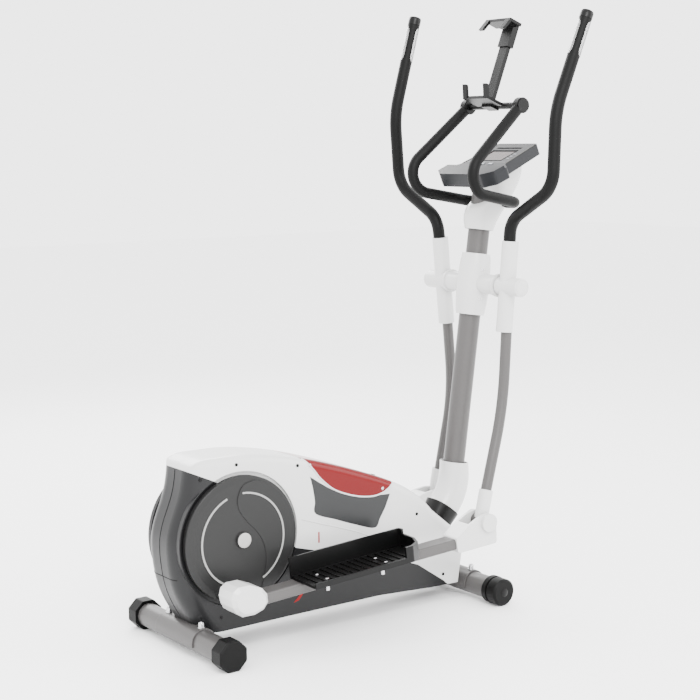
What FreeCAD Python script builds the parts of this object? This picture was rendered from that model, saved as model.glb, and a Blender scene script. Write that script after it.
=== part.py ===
import FreeCAD, Part
import math
import os
import Sketcher

# Elliptical trainer, millimetres. +X points forward (from the flywheel casing to the mast),
# +Y to the user's left, +Z up. The origin is on the floor under the middle of the bounding box.

DIMENSIONS = {
    # overall placing
    "origin_ahead": 516.0,  # the origin lies this far ahead of the rear stabiliser
    # base frame
    "stabiliser_radius": 30.0,
    "stabiliser_wall": 2.5,
    "stabiliser_rise": 37.0,
    "rear_tube_length": 398.0,
    "front_tube_length": 342.0,
    "front_reach": 846.0,
    "beam_width": 50.0,
    "beam_height": 38.0,
    "beam_wall": 3.0,
    "bolt_spacing": 156.0,
    "saddle_half_length": 90.0,
    # end caps and rollers
    "cap_length": 41.0,
    "cap_grip": 12.0,
    "front_cap_length": 15.0,
    "front_cap_radius": 37.0,
    "roller_length": 37.0,
    "roller_radius": 36.0,
    # crank
    "crank_ahead": 115.0,
    "crank_rise": 271.0,
    "crank_throw": 139.6,
    "crank_lag": 27.7,
    "disc_radius": 157.0,
    "disc_rim_side": 86.0,
    "disc_face_side": 90.0,
    "disc_back_side": 70.0,
    "boss_radius": 20.0,
    "boss_side": 97.0,
    "axle_radius": 10.0,
    "pin_radius": 8.0,
    "pin_seat_side": 114.5,
    "pin_inner_side": 115.0,
    # drive train
    "pulley_radius": 130.0,
    "pulley_width": 14.0,
    "pulley_side": 46.0,
    "flywheel_ahead": 400.0,
    "flywheel_rise": 215.0,
    "flywheel_radius": 110.0,
    "flywheel_width": 34.0,
    "flywheel_side": -24.0,
    "small_pulley_radius": 14.0,
    "flywheel_axle_radius": 8.0,
    "belt_thickness": 2.5,
    "bearing_radius": 21.0,
    "bearing_shell_length": 68.0,
    # casing
    "casing_half_width": 76.0,
    "casing_edge": 20.0,
    "casing_rear_edge": 44.0,
    "casing_wall": 3.0,
    "drum_radius": 169.5,
    "recess_depth": 10.0,
    "recess_radius": 166.5,
    # mast
    "mast_radius": 29.0,
    "mast_wall": 2.5,
    "mast_bend": 120.0,
    "pivot_ahead": 921.0,
    "pivot_rise": 841.0,
    "pivot_axle_radius": 10.0,
    "pivot_half_length": 186.0,
    "running_gap": 0.05,
    # arms
    "arm_side": 134.0,
    "arm_tube_radius": 14.5,
    "arm_wall": 2.0,
    "joint_back": 62.0,
    "joint_drop": 619.0,
    "handle_radius": 12.5,
    "grip_radius": 16.5,
    "sleeve_radius": 22.0,
    "hub_radius": 19.0,
    "hub_cover_radius": 24.5,
    # pedal bars
    "bar_side": 165.0,
    "bar_length": 759.5,
    "bar_width": 50.0,
    "bar_height": 28.0,
    "bar_wall": 2.0,
    "clevis_width": 58.0,
    "fork_width": 42.0,
    "pedal_bolt_spacing": 170.0,
    # fixed handlebar and console
    "bar_tube_radius": 12.0,
    "bar_grip_radius": 15.0,
    "console_tilt": 23.0,
    "console_thickness": 30.0,
    "button_width": 14.0,
    "button_depth": 9.0,
    "button_height": 6.0,
    "holder_lean": 21.0,
    "trunnion_radius": 6.0,
}

doc = FreeCAD.newDocument("elliptical_trainer")
sheet = doc.addObject("Spreadsheet::Sheet", "dims")
for row, (alias, number) in enumerate(DIMENSIONS.items(), start=1):
    sheet.set(f"A{row}", alias)
    sheet.set(f"B{row}", str(number))
    sheet.setAlias(f"B{row}", alias)
doc.recompute()

V = FreeCAD.Vector
Y_AXIS, Z_AXIS = V(0, 1, 0), V(0, 0, 1)
SIDES = {"right": -1, "left": 1}
parts = []


def dim(alias):
    return float(sheet.get(alias))


def place(ahead=0.0, side=0.0, rise=0.0, turn=0.0):
    """A placement given from the rear stabiliser, turned about +Y by turn degrees."""
    base = V(ahead - dim("origin_ahead"), side, rise)
    return FreeCAD.Placement(base, FreeCAD.Rotation(Y_AXIS, turn))


# ---------------------------------------------------------------- PartDesign helpers


def new_body(label, placement):
    body = doc.addObject("PartDesign::Body", label)
    body.Label = label
    body.Placement = placement
    parts.append(body)
    return body


def new_sketch(body, role, name):
    made = body.newObject("Sketcher::SketchObject", name)
    plane = next(f for f in body.Origin.OriginFeatures if f.Role == role)
    made.AttachmentSupport = [(plane, "")]
    made.MapMode = "FlatFace"
    return made


def add_circle(sketch, expression, radius, centre=(0.0, 0.0)):
    middle = V(centre[0], centre[1], 0)
    index = sketch.addGeometry(Part.Circle(middle, Z_AXIS, radius))
    if centre == (0.0, 0.0):
        sketch.addConstraint(Sketcher.Constraint("Coincident", index, 3, -1, 1))
    else:
        sketch.addConstraint(Sketcher.Constraint("Block", index))
        return
    held = sketch.addConstraint(Sketcher.Constraint("Radius", index, radius))
    sketch.setExpression(f"Constraints[{held}]", expression)


def add_outline(sketch, corners):
    """A closed run of straight edges through the corners."""
    count = len(corners)
    for i, (start, end) in enumerate(zip(corners, corners[1:] + corners[:1])):
        line = Part.LineSegment(V(*start, 0), V(*end, 0))
        sketch.addGeometry(line)
    for i in range(count):
        sketch.addConstraint(Sketcher.Constraint("Coincident", i, 2, (i + 1) % count, 1))
        sketch.addConstraint(Sketcher.Constraint("Block", i))


def pad(body, sketch, expression, name, midplane=True, reverse=False):
    made = body.newObject("PartDesign::Pad", name)
    made.Profile = sketch
    made.Midplane = midplane
    made.Reversed = reverse
    made.setExpression("Length", expression)
    return made


def pocket_through(body, sketch, name):
    made = body.newObject("PartDesign::Pocket", name)
    made.Profile = sketch
    made.Type = "ThroughAll"
    made.Midplane = True
    return made


def round_bar(label, radius, length, placement):
    """A solid round bar along Y, centred on its placement."""
    body = new_body(label, placement)
    sketch = new_sketch(body, "XZ_Plane", label + "_circle")
    add_circle(sketch, f"dims.{radius}", dim(radius))
    pad(body, sketch, length, label + "_pad")
    return body


def round_tube(label, radius, wall, length, placement):
    """A round tube along Y with open ends."""
    body = new_body(label, placement)
    sketch = new_sketch(body, "XZ_Plane", label + "_circles")
    add_circle(sketch, f"dims.{radius}", dim(radius))
    add_circle(sketch, f"dims.{radius} - dims.{wall}", dim(radius) - dim(wall))
    pad(body, sketch, length, label + "_pad")
    return body


def turned(label, outline, placement):
    """A piece turned about the Y axis from an outline of (radius, side) corners."""
    body = new_body(label, placement)
    sketch = new_sketch(body, "XY_Plane", label + "_outline")
    add_outline(sketch, outline)
    spin = body.newObject("PartDesign::Revolution", label + "_turn")
    spin.Profile = sketch
    spin.ReferenceAxis = (sketch, ["V_Axis"])
    spin.Angle = 360
    return body


# ---------------------------------------------------------------- Part helpers


def feature(label, shape, placement):
    """A sub-part whose shape is set directly; several solids are kept as a compound."""
    made = doc.addObject("Part::Feature", label)
    made.Label = label
    solids = shape.Solids
    made.Shape = solids[0] if len(solids) == 1 else Part.makeCompound(solids)
    made.Placement = placement
    parts.append(made)
    return made


def fuse(shapes):
    shapes = list(shapes)
    return shapes[0].multiFuse(shapes[1:]).removeSplitter()


def cylinder_y(radius, low, high, ahead=0.0, rise=0.0):
    """A cylinder along Y from low to high."""
    low, high = min(low, high), max(low, high)
    return Part.makeCylinder(radius, high - low, V(ahead, low, rise), Y_AXIS)


def block(low, high):
    sizes = [b - a for a, b in zip(low, high)]
    return Part.makeBox(*sizes, V(*low))


def rounded_path(points, radii):
    """Straight runs through the points, with tangent arcs at the inner points."""
    points = [V(*p) for p in points]
    edges = []
    start = points[0]
    for before, corner, after, radius in zip(points, points[1:], points[2:], radii):
        into = (corner - before).normalize()
        out = (after - corner).normalize()
        half_turn = into.getAngle(out) / 2
        reach = radius * math.tan(half_turn)
        arc_start = corner - into * reach
        arc_end = corner + out * reach
        inward = (out - into).normalize()
        middle = corner + inward * (radius / math.cos(half_turn) - radius)
        edges.append(Part.LineSegment(start, arc_start).toShape())
        edges.append(Part.Arc(arc_start, middle, arc_end).toShape())
        start = arc_end
    edges.append(Part.LineSegment(start, points[-1]).toShape())
    return Part.Wire(edges)


def swept(path, radius):
    """A solid round sweep along a path."""
    first = path.Edges[0]
    start = first.valueAt(first.FirstParameter)
    heading = first.tangentAt(first.FirstParameter)
    ring = Part.Wire([Part.Circle(start, heading, radius).toShape()])
    return path.makePipeShell([ring], True, True)


def section(centre, across, along, half_across, half_along, power=2.0):
    """A closed smooth section, an ellipse for power 2 and squarer above it."""
    count = 24
    points = []
    for i in range(count):
        angle = 2 * math.pi * i / count
        c, s = math.cos(angle), math.sin(angle)
        p = math.copysign(abs(c) ** (2 / power), c) * half_across
        q = math.copysign(abs(s) ** (2 / power), s) * half_along
        points.append(V(*centre) + V(*across) * p + V(*along) * q)
    curve = Part.BSplineCurve()
    curve.interpolate(Points=points, PeriodicFlag=True)
    return Part.Wire([curve.toShape()])


def loft(sections):
    return Part.makeLoft(sections, True, False)


def plate(outline, low, high, rounding=0.0):
    """An outline of (ahead, rise) corners, as a plate from side low to side high."""
    low, high = min(low, high), max(low, high)
    wire = Part.makePolygon([V(a, low, r) for a, r in outline + outline[:1]])
    solid = Part.Face(wire).extrude(V(0, high - low, 0))
    if rounding:
        across = [e for e in solid.Edges if abs(e.tangentAt(e.FirstParameter).y) > 0.99]
        solid = solid.makeFillet(rounding, across)
    return solid


# ---------------------------------------------------------------- linkage at rest


def pin_point(side):
    """Crank pin axis at rest: the right pin hangs behind the bottom, the left is opposite."""
    lag = math.radians(dim("crank_lag"))
    ahead = dim("crank_ahead") + side * dim("crank_throw") * math.sin(lag)
    rise = dim("crank_rise") + side * dim("crank_throw") * math.cos(lag)
    return ahead, rise


def arm_turn(side):
    """Turn of the arm about +Y, in degrees, that puts its joint one bar from the pin."""
    pin_ahead, pin_rise = pin_point(side)
    away_x = dim("pivot_ahead") - pin_ahead
    away_z = dim("pivot_rise") - pin_rise
    gap = math.hypot(away_x, away_z)
    reach = math.hypot(dim("joint_back"), dim("joint_drop"))
    bar = dim("bar_length")
    cosine = (gap**2 + reach**2 - bar**2) / (2 * gap * reach)
    towards_pin = math.atan2(-away_x, -away_z)
    joint_rest = math.atan2(-dim("joint_back"), -dim("joint_drop"))
    turn = towards_pin - math.acos(cosine) - joint_rest
    return math.degrees((turn + math.pi) % (2 * math.pi) - math.pi)


def joint_point(side):
    """Axis of the joint between an arm and its pedal bar at rest."""
    turn = math.radians(arm_turn(side))
    back, drop = -dim("joint_back"), -dim("joint_drop")
    ahead = dim("pivot_ahead") + back * math.cos(turn) + drop * math.sin(turn)
    rise = dim("pivot_rise") - back * math.sin(turn) + drop * math.cos(turn)
    return ahead, rise


def bar_turn(side):
    """Turn of the pedal bar about +Y, in degrees."""
    pin_ahead, pin_rise = pin_point(side)
    joint_ahead, joint_rise = joint_point(side)
    return -math.degrees(math.atan2(joint_rise - pin_rise, joint_ahead - pin_ahead))


# ---------------------------------------------------------------- base frame

rise_0 = dim("stabiliser_rise")
front = dim("front_reach")

BEAM_UNDERSIDE = [(20, 36), (240, 42), (528, 44), (721, 34), (828, 30)]


def main_beam():
    """Box-section beam, arched a little, with a saddle over each stabiliser."""
    height, width, wall = dim("beam_height"), dim("beam_width"), dim("beam_wall")
    top = [(a, r + height) for a, r in reversed(BEAM_UNDERSIDE)]
    outer = plate(BEAM_UNDERSIDE + top, -width / 2, width / 2)
    low = [(a, r + wall) for a, r in BEAM_UNDERSIDE]
    low[0] = (low[0][0] - 1, low[0][1])
    low[-1] = (low[-1][0] + 1, low[-1][1])
    high = [(a, r + height - 2 * wall) for a, r in reversed(low)]
    inner = plate(low + high, wall - width / 2, width / 2 - wall)
    saddles = []
    for ahead in (0.0, front):
        radius = dim("stabiliser_radius")
        half = dim("saddle_half_length")
        shell = cylinder_y(radius + 4, -half, half, ahead, rise_0)
        keep = block((ahead - 40, -half, rise_0 - 8), (ahead + 40, half, rise_0 + 60))
        saddles.append(shell.common(keep))
    socket = mast_line_tube(36.0, -188, -32)
    clear = [cylinder_y(dim("stabiliser_radius"), -100, 100, a, rise_0) for a in (0.0, front)]
    solid = fuse([outer.cut(inner), socket] + saddles)
    solid = solid.cut(mast_line_tube(dim("mast_radius") + 0.2, -120, 10))
    return solid.cut(fuse(clear))


# The mast's foot leans back: its axis passes through FOOT_CENTRE along FOOT_DIRECTION.
FOOT_CENTRE = V(798, 0, 222.5)
FOOT_DIRECTION = V(0.606, 0, 0.795).normalize()


def foot_point(distance):
    return FOOT_CENTRE + FOOT_DIRECTION * distance


def mast_line_tube(radius, low, high):
    return Part.makeCylinder(radius, high - low, foot_point(low), FOOT_DIRECTION)


feature("main_beam", main_beam(), place())
round_tube("rear_stabiliser", "stabiliser_radius", "stabiliser_wall",
           "dims.rear_tube_length", place(0, 0, rise_0))
round_tube("front_stabiliser", "stabiliser_radius", "stabiliser_wall",
           "dims.front_tube_length", place(front, 0, rise_0))


def stabiliser_bolts():
    """Domed nuts on carriage bolts, two through each saddle."""
    top = rise_0 + dim("stabiliser_radius") + 4
    pieces = []
    for ahead in (0.0, front):
        for side in (-dim("bolt_spacing") / 2, dim("bolt_spacing") / 2):
            seat = V(ahead, side, top)
            washer = Part.makeCylinder(9, 2, seat, Z_AXIS)
            nut = Part.makeCylinder(7, 7, seat + V(0, 0, 2), Z_AXIS)
            dome = Part.makeSphere(7, seat + V(0, 0, 9)).common(
                Part.makeBox(20, 20, 10, seat + V(-10, -10, 9)))
            pieces.append(fuse([washer, nut, dome]))
    return Part.makeCompound(pieces)


feature("stabiliser_bolts", stabiliser_bolts(), place())


def levelling_cap(label, side):
    """Octagonal end cap that turns on the tube's end to level the machine."""
    apothem = rise_0
    corner = apothem / math.cos(math.pi / 8)
    ring = [(corner * math.cos(math.pi / 8 + i * math.pi / 4),
             corner * math.sin(math.pi / 8 + i * math.pi / 4)) for i in range(8)]
    half = dim("rear_tube_length") / 2
    grip, length = dim("cap_grip"), dim("cap_length")
    solid = plate(ring, side * (half - grip), side * (half - grip + length), 6)
    bore = cylinder_y(dim("stabiliser_radius") + 0.05, side * (half - grip - 1), side * (half + 0.3))
    solid = solid.cut(bore)
    rim = [e for e in solid.Edges if abs(abs(e.CenterOfMass.y) - (half - grip + length)) < 0.01]
    return feature(label, solid.makeChamfer(3, rim), place(0, 0, rise_0))


levelling_cap("rear_cap_right", -1)
levelling_cap("rear_cap_left", 1)


def front_caps():
    """Fixed sleeves on the front tube, each with a stub axle for its transport roller."""
    half = dim("front_tube_length") / 2
    grip, length = 8.0, dim("front_cap_length")
    pieces = []
    for side in (-1, 1):
        sleeve = cylinder_y(dim("front_cap_radius"), side * (half - grip), side * (half - grip + length))
        bore = cylinder_y(dim("stabiliser_radius"), side * (half - grip - 1), side * half)
        stub = cylinder_y(8, side * half, side * (half - grip + length + dim("roller_length") + 1))
        pieces.append(fuse([sleeve.cut(bore), stub]))
    return Part.makeCompound(pieces)


feature("front_caps", front_caps(), place(front, 0, rise_0))


def roller(label, side):
    """Transport roller on the stub axle of a front cap."""
    start = dim("front_tube_length") / 2 - 8 + dim("front_cap_length") + 0.8
    end = start + dim("roller_length") - 0.8
    radius = dim("roller_radius")
    bore = 8 + dim("running_gap")
    outline = [(bore, side * start), (radius - 3, side * start), (radius, side * (start + 3)),
               (radius, side * (end - 5)), (radius - 5, side * end), (bore, side * end)]
    return turned(label, outline, place(front, 0, rise_0))


roller("transport_roller_right", -1)
roller("transport_roller_left", 1)

# ---------------------------------------------------------------- mast

MAST_CORNER = V(838, 0, 275)
MAST_TOP = V(951, 0, 1090)


def mast_path():
    return rounded_path([foot_point(-110), MAST_CORNER, MAST_TOP], [dim("mast_bend")])


def mast():
    path = mast_path()
    solid = swept(path, dim("mast_radius")).cut(swept(path, dim("mast_radius") - dim("mast_wall")))
    hole = cylinder_y(dim("pivot_axle_radius"), -60, 60, dim("pivot_ahead"), dim("pivot_rise"))
    return solid.cut(hole)


feature("mast", mast(), place())


def mast_lean_at(rise):
    """Point of the mast's upper axis at a height."""
    share = (rise - MAST_CORNER.z) / (MAST_TOP.z - MAST_CORNER.z)
    return MAST_CORNER + (MAST_TOP - MAST_CORNER) * share


MAST_DIRECTION = (MAST_TOP - MAST_CORNER).normalize()
MAST_ACROSS = V(MAST_DIRECTION.z, 0, -MAST_DIRECTION.x)
FOOT_ACROSS = V(FOOT_DIRECTION.z, 0, -FOOT_DIRECTION.x)


def collar_skin(grow):
    """The outside of the collar, made larger by grow."""
    return loft([section(foot_point(-24 - grow), FOOT_ACROSS, Y_AXIS, 42 + grow, 40 + grow, 2.5),
                 section(foot_point(18 + grow), FOOT_ACROSS, Y_AXIS, 46 + grow, 43 + grow, 2.5)])


def collar_shapes():
    """The black collar on the casing's nose, then the white boot round the mast's bend."""
    mast_solid = swept(mast_path(), dim("mast_radius") + 0.2)
    collar = collar_skin(0.0)
    inner = loft([section(foot_point(-25), FOOT_ACROSS, Y_AXIS, 37, 35, 2.5),
                  section(foot_point(19), FOOT_ACROSS, Y_AXIS, 41, 38, 2.5)])
    collar = collar.cut(inner)
    top = mast_lean_at(357)
    between = (FOOT_DIRECTION + MAST_DIRECTION).normalize()
    between_across = V(between.z, 0, -between.x)

    def boot_skin(inset, beyond):
        return loft([section(foot_point(6 - beyond), FOOT_ACROSS, Y_AXIS, 41 - inset, 39 - inset, 2.5),
                     section(foot_point(62), between_across, Y_AXIS, 41 - inset, 40 - inset, 2.3),
                     section(top + MAST_DIRECTION * beyond, MAST_ACROSS, Y_AXIS,
                             38 - inset, 39 - inset, 2.1)])

    boot = boot_skin(0.0, 0.0).cut(boot_skin(3.0, 1.0))
    return collar, boot, mast_solid


collar_solid, boot_solid, mast_clear = collar_shapes()
feature("mast_collar", collar_solid.cut(boot_solid), place())
feature("mast_boot", boot_solid, place())


def pivot_cover():
    """White cover round the mast at the arm pivot, with a stub towards each arm."""
    low, high = mast_lean_at(757), mast_lean_at(921)
    outer = loft([section(low, MAST_ACROSS, Y_AXIS, 37, 37, 2.2),
                  section(mast_lean_at(790), MAST_ACROSS, Y_AXIS, 41, 41, 2.2),
                  section(mast_lean_at(885), MAST_ACROSS, Y_AXIS, 41, 41, 2.2),
                  section(high, MAST_ACROSS, Y_AXIS, 37, 37, 2.2)])
    stub = cylinder_y(27, -100, 100, dim("pivot_ahead"), dim("pivot_rise"))
    flange = fuse([cylinder_y(31, s * 96, s * 104, dim("pivot_ahead"), dim("pivot_rise"))
                   for s in (-1, 1)])
    axle = cylinder_y(dim("pivot_axle_radius") + 0.2, -110, 110, dim("pivot_ahead"), dim("pivot_rise"))
    mast_core = Part.makeCylinder(dim("mast_radius") + 0.2, 300, mast_lean_at(700), MAST_DIRECTION)
    hollow = fuse([cylinder_y(23, s * 38, s * 98, dim("pivot_ahead"), dim("pivot_rise"))
                   for s in (-1, 1)])
    return fuse([outer, stub, flange]).cut(mast_core).cut(hollow).cut(axle)


cover = pivot_cover()
split_point = V(dim("pivot_ahead"), 0, dim("pivot_rise"))
front_half = Part.makeBox(200, 400, 400, V(0, -200, -200))
front_half.Placement = FreeCAD.Placement(
    split_point, FreeCAD.Rotation(Y_AXIS, math.degrees(math.atan2(MAST_DIRECTION.x, MAST_DIRECTION.z))))
feature("pivot_cover_front", cover.common(front_half), place())
feature("pivot_cover_rear", cover.cut(front_half), place())

round_bar("pivot_axle", "pivot_axle_radius", "2 * dims.pivot_half_length",
          place(dim("pivot_ahead"), 0, dim("pivot_rise")))

# ---------------------------------------------------------------- casing

crank = V(dim("crank_ahead"), 0, dim("crank_rise"))
REAR_CURVE = [(-18, 452), (-21, 425), (-30, 385), (-50, 335), (-64, 285),
              (-63, 225), (-52, 165), (-30, 112), (1, 62)]
UNDERSIDE = [(1, 62), (29, 48), (248, 51), (537, 53), (710, 44), (800, 43)]
FRONT = [(800, 43), (812, 116), (818, 174), (722, 252)]
TOP_CURVE = [(722, 252), (648, 316), (516, 377), (378, 424), (284, 450),
             (204, 466), (134, 474), (64, 475), (0, 467), (-18, 452)]


def runs(points):
    ends = zip(points, points[1:])
    return [Part.LineSegment(V(a, 0, r), V(b, 0, q)).toShape() for (a, r), (b, q) in ends]


def spline(points):
    curve = Part.BSplineCurve()
    curve.interpolate([V(a, 0, r) for a, r in points])
    return curve


def headings(points, smooth):
    """Direction in and out of each point of a chain."""
    if smooth:
        curve = spline(points)
        found = [curve.tangent(curve.parameter(V(a, 0, r)))[0] for a, r in points]
        return [(h, h) for h in found]
    steps = [V(b - a, 0, q - r).normalize() for (a, r), (b, q) in zip(points, points[1:])]
    return list(zip(steps[:1] + steps, steps + steps[-1:]))


def inset_chains(inset):
    """The casing's side outline, moved inwards by inset, as chains of points."""
    chains = [(REAR_CURVE, True), (UNDERSIDE, False), (FRONT, False), (TOP_CURVE, True)]
    turns = [headings(points, smooth) for points, smooth in chains]
    moved = []
    for i, (points, smooth) in enumerate(chains):
        before, after = turns[i - 1], turns[(i + 1) % len(chains)]
        line = []
        for j, (a, r) in enumerate(points):
            into, out = turns[i][j]
            into = before[-1][0] if j == 0 else into
            out = after[0][1] if j == len(points) - 1 else out
            normal_in, normal_out = V(-into.z, 0, into.x), V(-out.z, 0, out.x)
            shift = (normal_in + normal_out) * (inset / (1 + normal_in.dot(normal_out)))
            line.append((a + shift.x, r + shift.z))
        moved.append((line, smooth))
    return moved


def casing_profile(inset):
    edges = []
    for points, smooth in inset_chains(inset):
        edges += [spline(points).toShape()] if smooth else runs(points)
    return Part.Face(Part.Wire(edges))


def casing_solid(inset):
    """The right half of the casing's outside, moved in by inset."""
    width = dim("casing_half_width") - inset
    block_shape = casing_profile(inset).extrude(V(0, -width, 0))
    rear, edge = dim("casing_rear_edge") - inset, dim("casing_edge") - inset
    rims = []
    for i, e in enumerate(block_shape.Edges, start=1):
        box = e.BoundBox
        if box.YMax > 0.01 - width or box.ZMax < 200:
            continue
        radius = rear if box.XMax < 50 else edge
        rims.append((i, radius, radius))
    base = doc.addObject("Part::Feature", "casing_block")
    base.Shape = block_shape
    rounded = doc.addObject("Part::Fillet", "casing_rounded")
    rounded.Base = base
    rounded.Edges = rims
    doc.recompute()
    solid = rounded.Shape.Solids[0]
    doc.removeObject(rounded.Name)
    doc.removeObject(base.Name)
    return solid


SPLIT = [(-114, 497), (-23, 453), (70, 411), (117, 357), (278, 222), (631, 126),
         (664, 114), (751, 56), (785, 25)]
PANEL_LOW = [(282, 455), (308, 440), (334, 412), (356, 386), (394, 355), (437, 336),
             (480, 324), (520, 320), (552, 326), (580, 342), (600, 362)]
SCREWS_ON_SIDE = [(9, 430), (108, 455), (285, 430), (660, 252), (58, 84), (749, 74)]
casing_outside = casing_solid(0.0)


def screw_seats():
    """Where each screw meets the right side of the casing."""
    seats = []
    for ahead, rise in SCREWS_ON_SIDE:
        probe = Part.makeLine(V(ahead, -200, rise), V(ahead, 0, rise))
        seats.append((ahead, casing_outside.common(probe).BoundBox.YMin, rise))
    return seats


def screw_shapes(radius):
    return [cylinder_y(radius, side + 8, side - 1.4, ahead, rise) for ahead, side, rise in screw_seats()]


def base_clearance():
    """Room in the casing for the beam, the saddles with their bolts, and the mast."""
    width = dim("beam_width") / 2 + 0.3
    height = dim("beam_height") + 0.3
    beam = [(a, r - 40) for a, r in BEAM_UNDERSIDE] + [(a, r + height) for a, r in reversed(BEAM_UNDERSIDE)]
    saddle = dim("stabiliser_radius") + 4.3
    bolt = V(0, -dim("bolt_spacing") / 2, rise_0)
    return fuse([plate(beam, -width, width), cylinder_y(saddle, -200, 10, 0, rise_0),
                 Part.makeCylinder(9.5, 60, bolt, Z_AXIS)])


def casing_pieces():
    """Right upper shell, right lower shell and the right half of the top panel."""
    side, wall = dim("casing_half_width"), dim("casing_wall")
    floor = side - dim("recess_depth")
    recess = cylinder_y(dim("recess_radius"), -200, -floor, crank.x, crank.z)
    drum = cylinder_y(dim("drum_radius"), wall - floor, -side, crank.x, crank.z)
    shell = casing_outside.cut(casing_solid(wall))
    shell = shell.fuse(drum).cut(recess)
    shell = shell.cut(cylinder_y(32, -200, 10, crank.x, crank.z))
    shell = shell.cut(mast_line_tube(38, -100, 60)).cut(collar_skin(0.3)).cut(base_clearance())
    for hole in screw_shapes(4.05):
        shell = shell.cut(hole)
    above = SPLIT + [(900, 30), (900, 600), (-120, 600)]
    upper_zone = plate(above, -200, 200)
    above_panel = PANEL_LOW + [(700, 700), (282, 700)]
    panel_zone = plate(above_panel, -200, 200)
    upper = shell.common(upper_zone.cut(panel_zone))
    return upper, shell.cut(upper_zone), shell.common(panel_zone)


upper_right, lower_right, panel_right = casing_pieces()
MIRROR = (V(0, 0, 0), Y_AXIS)
feature("upper_casing_right", upper_right, place())
feature("upper_casing_left", upper_right.mirror(*MIRROR), place())
feature("lower_casing_right", lower_right, place())
feature("lower_casing_left", lower_right.mirror(*MIRROR), place())
feature("top_panel", panel_right.fuse(panel_right.mirror(*MIRROR)), place())


def casing_screws():
    """Pan-head screws that hold the two halves, on both sides."""
    heads = screw_shapes(4.0)
    return Part.makeCompound(heads + [head.mirror(*MIRROR) for head in heads])


feature("casing_screws", casing_screws(), place())

# ---------------------------------------------------------------- crank and drive

half_shell = dim("bearing_shell_length") / 2


def bearing_shell():
    """Bottom-bracket shell with its two bearings, on a post from the beam."""
    radius = dim("bearing_radius")
    shell = cylinder_y(radius, -half_shell, half_shell)
    foot_rise = BEAM_UNDERSIDE[1][1] + dim("beam_height") - crank.z
    post = block((-16, -22, foot_rise), (16, 22, 0))
    bore = cylinder_y(dim("axle_radius") + dim("running_gap"), -half_shell, half_shell)
    return fuse([shell, post]).cut(bore)


feature("crank_bearing_shell", bearing_shell(), place(crank.x, 0, crank.z))
round_bar("crank_axle", "axle_radius", "2 * (dims.disc_back_side + 12)", place(crank.x, 0, crank.z))


def crank_disc(label, side):
    """Disc-shaped crank: a dished disc, a centre boss and the raised seat of the crank pin."""
    back, rim, face = dim("disc_back_side"), dim("disc_rim_side"), dim("disc_face_side")
    radius = dim("disc_radius")
    outline = [(0, back), (radius - 2, back), (radius, back + 2), (radius, rim - 2), (radius - 2, rim),
               (radius - 16, rim + 3), (dim("boss_radius") + 24, face), (dim("boss_radius"), face),
               (dim("boss_radius"), dim("boss_side") - 2), (dim("boss_radius") - 3, dim("boss_side")),
               (0, dim("boss_side"))]
    points = [V(r, side * y, 0) for r, y in outline]
    solid = Part.Face(Part.makePolygon(points + points[:1])).revolve(V(0, 0, 0), Y_AXIS, 360)
    solid = solid.cut(cylinder_y(dim("axle_radius"), 0, side * (back + 12)))
    pin_ahead, pin_rise = pin_point(side)
    pin_x, pin_z = pin_ahead - crank.x, pin_rise - crank.z
    seat = cylinder_y(14, side * back, side * dim("pin_seat_side"), pin_x, pin_z)
    feature(label, fuse([solid, seat]), place(crank.x, 0, crank.z))


crank_disc("crank_disc_right", -1)
crank_disc("crank_disc_left", 1)


def wheel_y(radius, hub, web, width, side, spokes=0):
    """A wheel with a rim, a web and a hub, across Y about side."""
    low, high = side - width / 2, side + width / 2
    rim = cylinder_y(radius, low, high).cut(cylinder_y(radius - web, low - 1, high + 1))
    disc = cylinder_y(radius - web / 2, side - 2, side + 2)
    core = cylinder_y(hub, low, high)
    solid = fuse([rim, disc, core])
    for i in range(spokes):
        angle = 2 * math.pi * i / spokes
        reach = (radius - web + hub) / 2
        opening = cylinder_y((radius - web - hub) / 3, side - 5, side + 5,
                             reach * math.cos(angle), reach * math.sin(angle))
        solid = solid.cut(opening)
    return solid


pulley_y = dim("pulley_side")
pulley = wheel_y(dim("pulley_radius"), 24, 10, dim("pulley_width"), pulley_y, 5)
feature("drive_pulley", pulley.cut(cylinder_y(dim("axle_radius"), 0, 90)), place(crank.x, 0, crank.z))

fly = V(dim("flywheel_ahead"), 0, dim("flywheel_rise"))


def flywheel():
    """Cast flywheel with its small belt pulley on one hub."""
    radius, width, side = dim("flywheel_radius"), dim("flywheel_width"), dim("flywheel_side")
    wheel = wheel_y(radius, 26, 26, width, side)
    hub = cylinder_y(20, side, pulley_y + 9)
    groove = cylinder_y(dim("small_pulley_radius"), pulley_y - 8, pulley_y + 8)
    bore = cylinder_y(dim("flywheel_axle_radius") + dim("running_gap"), -100, 100)
    neck = cylinder_y(30, pulley_y - 8, pulley_y + 8).cut(groove)
    return fuse([wheel, hub]).cut(neck).cut(bore)


feature("flywheel", flywheel(), place(fly.x, 0, fly.z))


def flywheel_bracket():
    """Two plates on the beam with the fixed axle of the flywheel between them."""
    top = 44 + dim("beam_height") - fly.z
    pieces = [cylinder_y(dim("flywheel_axle_radius"), -58, 66)]
    for side in (-1, 1):
        low, high = (-52, -47) if side < 0 else (59, 64)
        cheek = plate([(-45, top - 6), (45, top - 6), (14, 12), (-14, 12)], low, high)
        foot_low, foot_high = (-52, -20) if side < 0 else (20, 64)
        foot = block((-45, foot_low, top + 0.5), (45, foot_high, top + 5))
        pieces += [cheek, foot]
    brake_pin = cylinder_y(5, -42, 22, 128, -46)
    cheeks = [block((118, low, top + 0.5), (138, low + 5, -40)) for low in (-12, 15)]
    rail = block((-45, -12, top + 0.5), (138, 20, top + 4))
    return fuse(pieces + [brake_pin, rail] + cheeks)


feature("flywheel_bracket", flywheel_bracket(), place(fly.x, 0, fly.z))


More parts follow.
